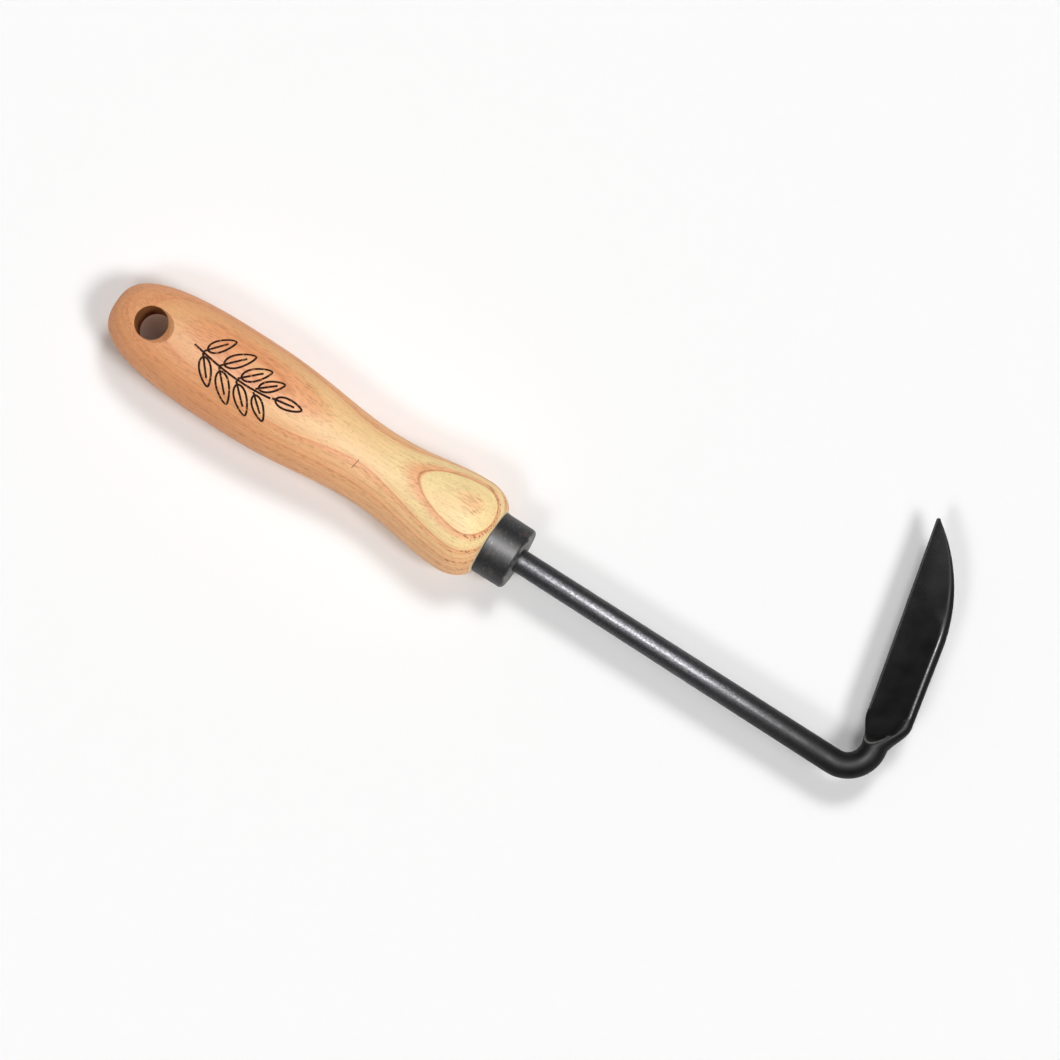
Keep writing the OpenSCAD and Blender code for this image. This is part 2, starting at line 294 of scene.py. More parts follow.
def finish(piece, node, crease=30):
    """Shade a piece smooth up to a crease angle, and hand it to the frame in place of its CAD node."""
    only(piece)
    bpy.ops.object.transform_apply()
    bpy.ops.object.shade_smooth_by_angle(angle=math.radians(crease))
    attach(piece, "root")
    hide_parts(node)


def half_wave(start, end, skew, steps=28):
    """An outline that swings from one (place, radius) to another in half a wave."""
    (x0, r0), (x1, r1) = start, end
    shares = [i / steps for i in range(1, steps + 1)]
    return [(x0 + (x1 - x0) * t, r0 + (r1 - r0) * (1 - math.cos(math.pi * t ** skew)) / 2) for t in shares]


def arc(middle, radius, start, end, steps=12):
    """An outline that follows part of a circle, between two angles in degrees."""
    turns = [math.radians(start + (end - start) * i / steps) for i in range(steps + 1)]
    return [(middle[0] + radius * math.cos(a), middle[1] + radius * math.sin(a)) for a in turns]


# -------- materials

def add_node(tree, kind, inputs=None, stops=None, **settings):
    """Add a shader node, set it up, link or set its inputs, and return its outputs."""
    made = tree.nodes.new("ShaderNode" + kind)
    for name, value in settings.items():
        setattr(made, name, value)
    for name, value in (inputs or {}).items():
        if isinstance(value, bpy.types.NodeSocket):
            tree.links.new(value, made.inputs[name])
        else:
            made.inputs[name].default_value = value
    for i, (place, value) in enumerate(stops or []):
        ramp = made.color_ramp.elements
        stop = ramp[i] if i < 2 else ramp.new(place)
        stop.position, stop.color = place, value
    return made.outputs


def emptied(holder):
    """A material or world without its nodes, and the function that adds nodes to it."""
    holder.use_nodes = True
    holder.node_tree.nodes.clear()
    return holder, partial(add_node, holder.node_tree)


def millimetres(add):
    """Object coordinates in millimetres."""
    place = add("TexCoord")["Object"]
    return add("Mapping", {"Vector": place, "Scale": (1000, 1000, 1000)})[0]


def surface(add, inputs, relief=None, depth=0.0, strength=0.3):
    """End a material with its shader, and with a relief that is felt to a given depth."""
    if relief is not None:
        inputs["Normal"] = add("Bump", {"Height": relief, "Strength": strength, "Distance": depth})[0]
    add("OutputMaterial", {"Surface": add("BsdfPrincipled", inputs)[0]})


def ash_wood(name, look, painted_shade_dim=1.0, roughness=0.6, specular=0.4):
    """Turned ash, oiled: ring lines, rows of open pores that run with the grain, and a satin oil finish."""
    material, add = emptied(bpy.data.materials.new(name))
    mm = millimetres(add)

    # The tree grew slightly crooked, so the rings sway by a millimetre over some 60 mm of length.
    slow = add("Mapping", {"Vector": mm, "Scale": (0.016, 0.05, 0.05)})[0]
    sway = add("TexNoise", {"Vector": slow, "Scale": 1.0, "Detail": 2.0})[0]
    sway = add("Math", {0: sway, 1: 0.5}, operation="SUBTRACT")[0]
    sway = add("Math", {0: sway, 1: 2.4}, operation="MULTIPLY")[0]

    # The pith lies 90 mm below the handle, turned 22 degrees round it. A ring is 3.8 mm of growth, and one ends
    # 17.5 mm above the axis, where it closes to an oval on the front bulb. Years are counted from the tenth below it.
    pith_depth, ring_width, oval_height = 90, 3.8, 17.5
    turned_mm = add("Mapping", {
        "Vector": mm, "Rotation": (math.radians(22), math.radians(-1.7), 0), "Location": (0, 0, pith_depth)})[0]
    across = add("VectorMath", {0: turned_mm, 1: (0, 1, 1)}, operation="MULTIPLY")[0]
    from_pith = add("VectorMath", {0: across}, operation="LENGTH")["Value"]
    from_pith = add("Math", {0: from_pith, 1: sway}, operation="ADD")[0]
    first_ring = pith_depth + oval_height - 10 * ring_width
    years = add("Math", {0: from_pith, 1: first_ring}, operation="SUBTRACT")[0]
    years = add("Math", {0: years, 1: ring_width}, operation="DIVIDE")[0]
    year = add("Math", {0: years}, operation="FRACT")[0]
    ring = add("ValToRGB", {0: year}, stops=[
        (0.0, look.line), (1.0, look.line), (0.03, look.honey), (0.07, look.straw),
        (0.6, look.straw), (0.86, look.honey), (0.95, look.honey)])[0]

    # Near the pith the years are narrow, and show as fine lines along the handle's lower side.
    narrow = add("Math", {0: years, 1: 2.5}, operation="MULTIPLY")[0]
    narrow = add("Math", {0: narrow}, operation="FRACT")[0]
    narrow = add("MapRange", {"Value": narrow, "From Min": 0.7, "To Max": 0.6})[0]
    inner = add("MapRange", {"Value": from_pith, "From Min": 106.0, "From Max": 101.0, "To Max": 0.8})[0]
    narrow = add("Math", {0: narrow, 1: inner}, operation="MULTIPLY")[0]

    # Fibres: streaks from 0.8 mm wide down to 0.05 mm, some 15 mm long.
    fine = add("Mapping", {"Vector": mm, "Scale": (0.07, 1.3, 1.3)})[0]
    fibre = add("TexNoise", {"Vector": fine, "Scale": 1.0, "Detail": 4.0, "Roughness": 0.75})[0]
    streak = add("MapRange", {"Value": fibre, "From Min": 0.32, "From Max": 0.6, "To Min": 0.24, "To Max": 0.0})[0]

    # Open pores: real ones are 0.2 mm wide, drawn at 0.3 mm so that they show. They crowd under each ring line.
    # They are long tubes: dashes where the surface follows the grain, and dots, drawn at 0.4 mm, on the shoulder.
    crowd = add("MapRange", {"Value": year, "From Min": 0.45, "From Max": 0.75})[0]
    cells = add("Mapping", {"Vector": mm, "Scale": (0.3, 2.4, 2.4)})[0]
    dash = add("TexVoronoi", {"Vector": cells, "Scale": 1.0})["Distance"]
    widest = add("MapRange", {"Value": crowd, "To Min": 0.24, "To Max": 0.5})[0]
    dash = add("MapRange", {"Value": dash, "From Min": 0.1, "From Max": widest, "To Min": 0.5, "To Max": 0.0})[0]
    cells = add("Mapping", {"Vector": mm, "Scale": (0.25, 1.5, 1.5)})[0]
    dot = add("TexVoronoi", {"Vector": cells, "Scale": 1.0})["Distance"]
    dot = add("MapRange", {"Value": dot, "From Min": 0.22, "From Max": 0.42, "To Min": 1.0, "To Max": 0.0})[0]
    along = add("SeparateXYZ", {0: mm})["X"]
    shoulder = add("MapRange", {"Value": along, "From Min": 116.0, "From Max": 121.0})[0]
    rows = add("MapRange", {"Value": year, "From Min": 0.64, "From Max": 0.76})[0]
    shoulder = add("Math", {0: shoulder, 1: rows}, operation="MULTIPLY")[0]
    dot = add("Math", {0: dot, 1: shoulder}, operation="MULTIPLY")[0]
    pore = add("Math", {0: dash, 1: dot}, operation="MAXIMUM")[0]

    # The wood is honey near the pith, tan towards the butt, and uneven all over. The ferrule has scraped its edge.
    tanned = add("MapRange", {"Value": along, "From Min": 106.0, "From Max": 32.0, "To Max": 0.74})[0]
    scraped = add("MapRange", {
        "Value": along, "From Min": FERRULE_LOW.x / MM - 0.45, "From Max": FERRULE_LOW.x / MM - 0.2})[0]
    patch = add("Mapping", {"Vector": mm, "Scale": (0.03, 0.12, 0.12)})[0]
    patch = add("TexNoise", {"Vector": patch, "Scale": 1.0, "Detail": 2.0})[0]
    patch = add("MapRange", {"Value": patch, "From Min": 0.4, "From Max": 0.7, "To Max": 0.35})[0]
    patch = add("Math", {0: patch, 1: inner}, operation="MAXIMUM")[0]
    wood = ring
    for where, shade in ((patch, look.honey), (narrow, look.line), (tanned, look.tan), (streak, look.pores),
                         (pore, look.pores), (scraped, look.scraped)):
        wood = add("MixRGB", {"Fac": where, "Color1": wood, "Color2": shade})[0]
    # Dimming paints shade onto a copy of the wood, for the inside of the drillings.
    wood = add("VectorMath", {0: wood, "Scale": painted_shade_dim}, operation="SCALE")[0]

    # Pores and fibres are felt as well as seen, at some hundredths of a millimetre.
    relief = add("Math", {0: fibre, 1: pore}, operation="SUBTRACT")[0]
    gloss = add("MapRange", {"Value": pore, "To Min": roughness, "To Max": roughness + 0.2})[0]
    surface(add, {"Base Color": wood, "Roughness": gloss, "Specular IOR Level": specular}, relief, 0.06 * MM, 0.35)
    return material


def charred_ash(look):
    """Ash scorched by a hot iron: matt, nearly black, browner where the iron was lighter."""
    material, add = emptied(bpy.data.materials.new("charred_ash"))
    # The patches are some 1 mm across.
    patch = add("TexNoise", {"Vector": millimetres(add), "Scale": 0.9, "Detail": 2.0})[0]
    burn = add("ValToRGB", {0: patch}, stops=[(0.35, look.char), (0.75, look.line), (0.6, look.char)])[0]
    surface(add, {"Base Color": burn, "Roughness": 0.85, "Specular IOR Level": 0.1})
    return material


def browned_steel(look):
    """Drawn mild steel, chemically browned: dark, satin, with fine turning lines and rims rubbed bare."""
    material, add = emptied(bpy.data.materials.new("browned_drawn_steel"))
    mm = millimetres(add)
    # Handling scratches, 0.2 mm wide, mostly round the ferrule.
    round_it = add("Mapping", {"Vector": mm, "Scale": (5.0, 0.5, 0.5)})[0]
    lines = add("TexNoise", {"Vector": round_it, "Scale": 1.0, "Detail": 3.0})[0]
    cloud = add("TexNoise", {"Vector": mm, "Scale": 0.35, "Detail": 4.0})[0]
    along = add("SeparateXYZ", {0: mm})["X"]
    front = add("MapRange", {
        "Value": along, "From Min": FERRULE_HIGH.x / MM - 0.7, "From Max": FERRULE_HIGH.x / MM - 0.3})[0]
    rear = add("MapRange", {
        "Value": along, "From Min": FERRULE_LOW.x / MM + 0.35, "From Max": FERRULE_LOW.x / MM + 0.1})[0]
    rims = add("Math", {0: front, 1: rear}, operation="MAXIMUM")[0]
    chance = add("MapRange", {"Value": cloud, "From Min": 0.4, "From Max": 0.65, "To Max": 0.45})[0]
    bare = add("Math", {0: rims, 1: chance}, operation="MULTIPLY")[0]
    scratch = add("MapRange", {"Value": lines, "From Min": 0.62, "From Max": 0.72, "To Max": 0.3})[0]
    bare = add("Math", {0: bare, 1: scratch}, operation="MAXIMUM")[0]
    # A faint red-brown bloom is left from the browning.
    bloom = add("MapRange", {"Value": cloud, "From Min": 0.52, "From Max": 0.68, "To Max": 0.35})[0]
    steel = add("MixRGB", {"Fac": bloom, "Color1": look.steel, "Color2": look.bloom})[0]
    steel = add("MixRGB", {"Fac": bare, "Color1": steel, "Color2": look.bare})[0]
    gloss = add("MapRange", {"Value": cloud, "To Min": 0.4, "To Max": 0.5})[0]
    metal = add("Math", {0: bare, 1: 0.9}, operation="MULTIPLY")[0]
    surface(add, {"Base Color": steel, "Metallic": metal, "Roughness": gloss, "Specular IOR Level": 0.36},
            lines, 0.03 * MM)
    return material


def forge_black_steel(look):
    """Forged carbon steel, oil-blackened: satin black with fine pits, and grey where ridges are rubbed bare, which on
    the ridges is also a painted highlight.
    """
    material, add = emptied(bpy.data.materials.new("oil_blackened_forged_steel"))
    mm = millimetres(add)
    # Pits of scale are 0.3 to 0.6 mm across. Clouds of thicker scale are some 5 mm across.
    pits = add("TexNoise", {"Vector": mm, "Scale": 1.8, "Detail": 4.0, "Roughness": 0.6})[0]
    cloud = add("TexNoise", {"Vector": mm, "Scale": 0.18, "Detail": 4.0})[0]
    tone = add("MapRange", {"Value": cloud, "From Min": 0.3, "From Max": 0.7, "To Min": 0.6, "To Max": 1.35})[0]
    black = add("VectorMath", {0: look.scale[:3], "Scale": tone}, operation="SCALE")[0]

    # Ridges and the edge are rubbed bare by soil, and a few specks are knocked off anywhere. Along the ridges the
    # bare grey is also a painted highlight.
    rubbed = add("Attribute", attribute_name="rubbed")["Fac"]
    broken = add("MapRange", {"Value": pits, "From Min": 0.3, "From Max": 0.52, "To Min": 0.15})[0]
    bare = add("Math", {0: rubbed, 1: broken}, operation="MULTIPLY")[0]
    speck = add("MapRange", {"Value": pits, "From Min": 0.74, "From Max": 0.78, "To Max": 0.3})[0]
    bare = add("Math", {0: bare, 1: speck}, operation="MAXIMUM")[0]
    bare = add("Math", {0: bare, 1: 0.8}, operation="MULTIPLY")[0]

    # The shank is polished by handling, in fine grains, most at mid length and not at all on the bend.
    along = add("SeparateXYZ", {0: mm})["X"]
    on_shank = add("MapRange", {
        "Value": along, "From Min": 204.0, "From Max": 264.0, "To Min": 1.0, "To Max": 0.0})[0]
    from_ferrule = add("MapRange", {"Value": along, "From Min": 136.0, "From Max": 170.0, "To Min": 0.7})[0]
    on_shank = add("Math", {0: on_shank, 1: from_ferrule}, operation="MULTIPLY")[0]
    grain = add("TexNoise", {"Vector": mm, "Scale": 1.7, "Detail": 3.0, "Roughness": 0.7})[0]
    grain = add("MapRange", {"Value": grain, "From Min": 0.38, "From Max": 0.62, "To Min": 1.0, "To Max": 0.45})[0]
    handled = add("Math", {0: on_shank, 1: grain}, operation="MULTIPLY")[0]
    steel = add("MixRGB", {"Fac": handled, "Color1": black, "Color2": look.handled})[0]
    steel = add("MixRGB", {"Fac": bare, "Color1": steel, "Color2": look.bare})[0]
    metal = add("Math", {0: handled, 1: bare}, operation="MAXIMUM")[0]

    # The flat is pressed smooth. The rest keeps the hammer's coarser skin.
    pressed = add("Attribute", attribute_name="pressed")["Fac"]
    smooth = add("Math", {0: pressed, 1: on_shank}, operation="MAXIMUM")[0]
    gloss = add("MapRange", {"Value": smooth, "To Min": 0.5, "To Max": 0.37})[0]
    mottle = add("MapRange", {"Value": cloud, "From Min": 0.3, "From Max": 0.7, "To Min": 0.9, "To Max": 1.12})[0]
    gloss = add("Math", {0: gloss, 1: mottle}, operation="MULTIPLY")[0]
    surface(add, {"Base Color": steel, "Metallic": metal, "Roughness": gloss, "Specular IOR Level": 0.15},
            pits, 0.04 * MM)
    return material


# -------- the handle

def handle_outline(size):
    """The handle's bare wood from its butt to the ledge at the ferrule."""
    butt_x, shoulder_x = HANDLE_LOW.x, FERRULE_LOW.x - FIT
    swell_x = butt_x + size.swell_from_butt
    waist_x = shoulder_x - size.waist_from_ferrule
    bulb_x = shoulder_x - size.shoulder_length
    swell_r, waist_r, bulb_r = size.swell_d / 2, size.waist_d / 2, size.bulb_d / 2
    blunt = size.butt_bluntness
    butt_steps, round_steps = 44, 14
    shares = [(i / butt_steps) ** 2 for i in range(butt_steps + 1)]
    outline = [(butt_x + (swell_x - butt_x) * t, swell_r * (1 - (1 - t) ** blunt) ** (1 / blunt)) for t in shares]
    outline += half_wave((swell_x, swell_r), (waist_x, waist_r), size.swell_skew)
    outline += half_wave((waist_x, waist_r), (bulb_x, bulb_r), size.bulb_skew)
    foot_r = FERRULE_HIGH.z + size.shoulder_ledge
    flat = math.cos(size.shoulder_sweep)
    for i in range(1, round_steps + 1):
        a = size.shoulder_sweep * i / round_steps
        outline.append((bulb_x + size.shoulder_length * math.sin(a) / math.sin(size.shoulder_sweep),
                        foot_r + (bulb_r - foot_r) * (math.cos(a) - flat) / (1 - flat)))
    return outline


def radius_at(outline, x):
    """The outline's radius at a place along it."""
    return float(np.interp(x, [p[0] for p in outline], [p[1] for p in outline]))


def leaf(root, direction, reach, width):
    """The outline and the midrib of a leaf, as places in plan."""
    turn = Matrix.Rotation(direction, 2)
    root = Vector(root)
    edge = []
    for i in range(25):
        a = math.tau * i / 24
        t = (1 - math.cos(a)) / 2
        swell = math.copysign(abs(math.sin(a)) ** 1.15, math.sin(a))
        edge.append(root + turn @ Vector((reach * t, width / 2 * swell * (1.25 - 0.55 * t))))
    rib = [root + turn @ Vector((reach * t, 0)) for t in (-0.13, 0.1, 0.4, 0.72)]
    return edge, rib


def stem_y(x):
    """How far across the handle the sprig's stem lies, x millimetres from the hang hole."""
    return (1.4 - 2.2 * math.sin((x - 17) / 38 * math.pi)) * MM


def sprig():
    """A generic leaf sprig: the stem, four pairs of leaves and one at the end, as places in plan."""
    lines = [[(x * MM, stem_y(x)) for x in range(16, 47, 3)]]
    for i, (x, reach) in enumerate(((19.5, 9.5 * MM), (26.5, 10.5 * MM), (33.5, 10 * MM), (40, 8.5 * MM))):
        for side in (1, -1):
            root = ((x + 1.1) * MM, stem_y(x) + side * 1.3 * MM)
            lines += leaf(root, side * math.radians(50 - 3 * i), reach, 0.4 * reach)
    lines += leaf((47.6 * MM, 0.5 * MM), math.radians(10), 9 * MM, 3.6 * MM)
    return lines


def burned_wire(outline, plan, width, material):
    """A round wire laid on the handle's top along places in plan, which the burned line takes its shape from."""
    places = []
    for x, y in plan:
        r = radius_at(outline, x)
        places.append((x, y, math.sqrt(r * r - y * y)))
    wire = chain("burned_wire", places)
    only(wire)
    bpy.ops.object.convert(target="CURVE")
    wire.data.bevel_depth = width / 2
    wire.data.bevel_resolution = 2
    wire.data.use_fill_caps = True
    bpy.ops.object.convert(target="MESH")
    give(wire, material)
    return wire


class HOE_OT_turn_handle(bpy.types.Operator):
    """Turn the ash handle, drill it, and burn a leaf sprig into it"""
    bl_idname = "hoe.turn_handle"
    bl_label = "Turn handle"

    def execute(self, context):
        size = context.scene.hoe_handle
        ash = ash_wood("oiled_turned_ash", size)
        # Inside the drillings the wood is dull, and its colour is halved as painted shade in the holes.
        drilled = ash_wood("drilled_ash", size, painted_shade_dim=0.5, roughness=0.8, specular=0.0)
        char = charred_ash(size)
        bare = handle_outline(size)
        tenon_r = FERRULE_HIGH.z - context.scene.hoe_ferrule.wall - FIT
        end_x, end_ease = HANDLE_HIGH.x, 0.8 * MM
        handle = turned("ash_handle", bare + [
            (bare[-1][0], tenon_r), (end_x - end_ease, tenon_r), (end_x, tenon_r - end_ease), (end_x, 0)])
        give(handle, ash)

        # The hang hole, with a cone at each mouth. The cone's foot is eased, as sandpaper leaves it.
        hole_r, mouth, top, eased = size.hole_d / 2, size.hole_mouth, 19 * MM, 0.5 * MM
        wide = hole_r + top - mouth
        bit = turned("hole_bit", [(-top, 0), (-top, wide), (-mouth, hole_r), (mouth, hole_r), (top, wide), (top, 0)],
                     upright=True, steps=96)
        give(bit, ash, drilled)
        with edit_mode():
            pick(bit, lambda m: abs(abs(m.z) - mouth) < 0.01 * MM, "edges")
            bpy.ops.mesh.bevel(offset=eased, segments=4, affect="EDGES")
            pick(bit, lambda m: abs(m.z) < mouth - eased, "faces")
            bit.active_material_index = 1
            bpy.ops.object.material_slot_assign()
        cut(handle, bit)

        # The stepped drilling that takes the shank's seat and the tang ends 3 mm past the tang's tip.
        head = context.scene.hoe_head
        seat_x = FERRULE_HIGH.x - head.shank_seat - FIT
        pilot_x = HEAD_LOW.x - 3 * MM
        pilot_r, bore_r, outside_x = size.pilot_d / 2, size.seat_bore_d / 2, end_x + 5 * MM
        drill = turned("tang_drill", [(pilot_x, 0), (pilot_x, pilot_r), (seat_x, pilot_r), (seat_x, bore_r),
                                      (outside_x, bore_r), (outside_x, 0)], steps=48)
        give(drill, drilled)
        cut(handle, drill)

        # The square socket that the tang cuts for itself.
        tip_x = HEAD_LOW.x - FIT
        bpy.ops.object.select_all(action="DESELECT")
        bpy.ops.mesh.primitive_cube_add(size=1, location=((tip_x + seat_x) / 2 + FIT, 0, 0))
        socket = bpy.context.object
        socket.scale = (seat_x - tip_x + 2 * FIT, head.tang_root + 2 * FIT, head.tang_root + 2 * FIT)
        bpy.ops.object.transform_apply()
        give(socket, drilled)
        with edit_mode():
            pick(socket, lambda m: m.x < tip_x + FIT)
            taper = (head.tang_tip + 2 * FIT) / (head.tang_root + 2 * FIT)
            bpy.ops.transform.resize(value=(1, taper, taper), center_override=(tip_x, 0, 0))
        cut(handle, socket)

        # The sprig is burned into the palm swell. In front of it is one small knock across the grain.
        for plan in sprig():
            cut(handle, burned_wire(bare, plan, size.mark_width, char))
        knock = [(79.6 * MM, -4.6 * MM), (80 * MM, -2.8 * MM), (80.3 * MM, -1.1 * MM)]
        cut(handle, burned_wire(bare, knock, 0.22 * MM, char))
        finish(handle, "handle")
        return {"FINISHED"}


# -------- the ferrule

class HOE_OT_draw_ferrule(bpy.types.Operator):
    """Draw the steel ferrule over the handle's tenon"""
    bl_idname = "hoe.draw_ferrule"
    bl_label = "Draw ferrule"

    def execute(self, context):
        size = context.scene.hoe_ferrule
        rear_x, face_x, r = FERRULE_LOW.x, FERRULE_HIGH.x, FERRULE_HIGH.z
        bore_r, floor_x, hole_r = r - size.wall, face_x - size.wall, size.hole_d / 2
        chamfer, ease, bore_ease = size.rim_chamfer, 0.15 * MM, 0.4 * MM
        outline = [(rear_x, bore_r + chamfer), (rear_x, r - chamfer), (rear_x + chamfer, r)]
        outline += arc((face_x - size.corner, r - size.draft - size.corner), size.corner, 90, 0, 14)
        outline += [(face_x, hole_r + ease), (face_x - ease, hole_r), (floor_x, hole_r),
                    (floor_x, bore_r - bore_ease), (floor_x - bore_ease, bore_r), (rear_x + chamfer, bore_r)]
        ferrule = turned("steel_ferrule", outline + outline[:1])
        give(ferrule, browned_steel(size))
        finish(ferrule, "ferrule")
        return {"FINISHED"}


# -------- the forged head

def smooth(t):
    """An eased share of the way, flat at both ends."""
    t = np.clip(t, 0, 1)
    return t * t * (3 - 2 * t)


def eased_max(a, b, ease):
    """The larger of two distances, with the corner between them eased."""
    t = np.clip(0.5 + 0.5 * (a - b) / ease, 0, 1)
    return b + (a - b) * t + ease * t * (1 - t)


class Blade:
    """The blade's section at each distance v from the end of the bend: round at the neck, and a wedge beyond."""

    def __init__(self, size):
        self.size = size
        self.neck_r = size.shank_front_d / 2
        self.drop = size.spine_offset + size.spine_drift + size.edge_offset + size.edge_drift - 2 * size.tip_radius
        self.back = size.blade_length - size.back_curve
        self.back_r = (self.back ** 2 + self.drop ** 2) / (2 * self.drop)
        spine_r, edge_r = size.spine_t / 2, size.edge_t / 2
        span = (size.spine_offset - spine_r + size.edge_offset - edge_r) / math.cos(size.blade_tilt)
        self.face_tilt = size.blade_tilt + math.asin((spine_r - edge_r) / span)
        self.face_height = spine_r - size.face_depth + (size.spine_offset - spine_r) * (
            math.tan(size.blade_tilt) * math.cos(self.face_tilt) - math.sin(self.face_tilt))
        self.corner_w = size.spine_offset - 1.5 * spine_r
        self.corner_v = size.heel - size.face_start

    def rounds(self, v):
        """The spine's and the edge's rounds at v: their places across, their radii, and the section's lean."""
        s = self.size
        t = np.clip(v / s.heel, 0, 1)
        grow, thin = smooth(t), smooth((v - s.back_curve) / self.back)
        spine_w = (self.neck_r + (s.spine_offset - self.neck_r) * (np.sin(math.pi / 2 * t) + grow) / 2
                   + s.spine_drift * np.clip((v - s.heel) / (s.back_curve - s.heel), 0, 1)
                   - self.back_r + np.sqrt(self.back_r ** 2 - np.maximum(0, v - s.back_curve) ** 2))
        edge_w = (-self.neck_r - (s.edge_offset - self.neck_r) * grow
                  - s.edge_drift * np.clip((v - s.heel) / (s.blade_length - s.heel), 0, 1))
        spine_r = self.neck_r + (s.spine_t / 2 - self.neck_r) * grow
        spine_r = spine_r + (s.tip_radius - spine_r) * thin
        edge_r = self.neck_r + (s.edge_t / 2 - self.neck_r) * grow
        lean = s.blade_tilt * grow
        return (spine_w - spine_r) / np.cos(lean), spine_r, (edge_w + edge_r) / np.cos(lean), edge_r, lean

    def surfaces(self, v, across, up):
        """How far a place is outside the forging, the pressed flat and the ground bevel."""
        s = self.size
        spine_c, spine_r, edge_c, edge_r, lean = self.rounds(v)
        # The forging before it is pressed and ground: two rounds, wrapped by their tangents.
        gap = np.maximum(spine_c - edge_c, 0.01 * MM)
        slope = np.clip((spine_r - edge_r) / gap, -0.98, 0.98)
        rise = np.sqrt(1 - slope ** 2)
        along, off = spine_c - across, np.abs(up)
        side = along * rise - off * slope
        forging = np.where(side < 0, np.hypot(along, off) - spine_r,
                           np.where(side > gap * rise, np.hypot(along - gap, off) - edge_r,
                                    along * slope + off * rise - spine_r))
        # The pressed flat, with its sloped, U-shaped end.
        turn = self.face_tilt - lean
        over = across * np.cos(turn) + up * np.sin(turn)
        high = -across * np.sin(turn) + up * np.cos(turn) - self.face_height
        reach = np.clip((over + s.spine_t / 2) / (self.corner_w + s.spine_t / 2), 0, 1)
        start = s.face_start + self.corner_v * (1 - np.sqrt(1 - reach ** 2)) + np.maximum(0, over - self.corner_w)
        slant = high * math.cos(s.face_shoulder) - (start - v) * math.sin(s.face_shoulder)
        flat = -eased_max(-high, -slant, 0.5 * MM)
        # The ground bevel, which fades in at the heel.
        hinge = (-(s.edge_offset - s.bevel_width) / math.cos(self.face_tilt)
                 - (v - s.heel) * s.edge_drift / (s.blade_length - s.heel))
        ground = high * math.cos(s.bevel_angle) + (hinge - over) * math.sin(s.bevel_angle)
        fade = 2 * MM
        ground = ground - fade * (1 - smooth((v - s.heel + fade) / (2 * fade)))
        return forging, flat, ground

    def past_heel(self, v):
        """An eased share of the way from the neck onto the blade."""
        return smooth((v - self.size.heel / 2) / self.size.heel)

    def outside(self, v, across, up):
        """How far a place is outside the blade's skin."""
        forging, flat, ground = self.surfaces(v, across, up)
        ease = (0.9 - 0.6 * self.past_heel(v)) * MM
        return eased_max(eased_max(forging, flat, ease), ground, 0.15 * MM)

    def wear_and_highlight(self, v, out, up):
        """How rubbed the skin is at each place, with a painted highlight along the ridges, and how far into the
        pressed flat it lies, from 0 to 1.
        """
        lean = self.rounds(v)[4]
        forging, flat, ground = self.surfaces(
            v, out * np.cos(lean) + up * np.sin(lean), up * np.cos(lean) - out * np.sin(lean))
        # The ridge's band is rubbed steel and a painted highlight, widest at the neck.
        band = (0.4 - 0.26 * self.past_heel(v)) * MM
        ridge_wear_and_highlight = np.clip(1 - np.abs(forging - flat) / band, 0, 1)
        ridge_wear_and_highlight = ridge_wear_and_highlight * (1 - smooth((v - self.size.back_curve) / (12 * MM)))
        edge = np.clip(1 - np.abs(np.maximum(forging, flat) - ground) / (0.2 * MM), 0, 1)
        on_blade = (v > 0) & (v < self.size.blade_length)
        return on_blade * np.maximum(ridge_wear_and_highlight, 0.6 * edge), on_blade * np.clip((flat - forging) / (0.2 * MM), 0, 1)

    def ring(self, v, turns):
        """The skin's places out from the neck's axis and up at v, one for each turn about the section."""
        spine_c, spine_r, edge_c, edge_r, lean = self.rounds(v)
        middle = (spine_c + spine_r + edge_c - edge_r) / 2
        half = (spine_c + spine_r - edge_c + edge_r) / 2
        # Each place is found by halving the way from the section's middle to well outside it.
        way_w, way_z = half * np.cos(turns), max(spine_r, edge_r) * np.sin(turns)
        near, far = np.zeros_like(turns), np.full_like(turns, 1.6)
        for _ in range(30):
            t = (near + far) / 2
            out = self.outside(v, middle + way_w * t, way_z * t) > 0
            near, far = np.where(out, near, t), np.where(out, t, far)
        across, up = middle + way_w * near, way_z * near
        return across * np.cos(lean) - up * np.sin(lean), across * np.sin(lean) + up * np.cos(lean)


def lay_ring(piece, places):
    """Lay the selected ring's vertices on places, by the column that each one was extruded in."""
    mesh = bmesh.from_edit_mesh(piece.data)
    column = mesh.verts.layers.int["column"]
    for vert in mesh.verts:
        if vert.select:
            vert.co = places[vert[column]]
    bmesh.update_edit_mesh(piece.data)


def next_ring(piece, places):
    """Extrude the selected ring and lay the new one."""
    bpy.ops.mesh.extrude_region_move(TRANSFORM_OT_translate={"value": (0, 0, 0)})
    lay_ring(piece, places)


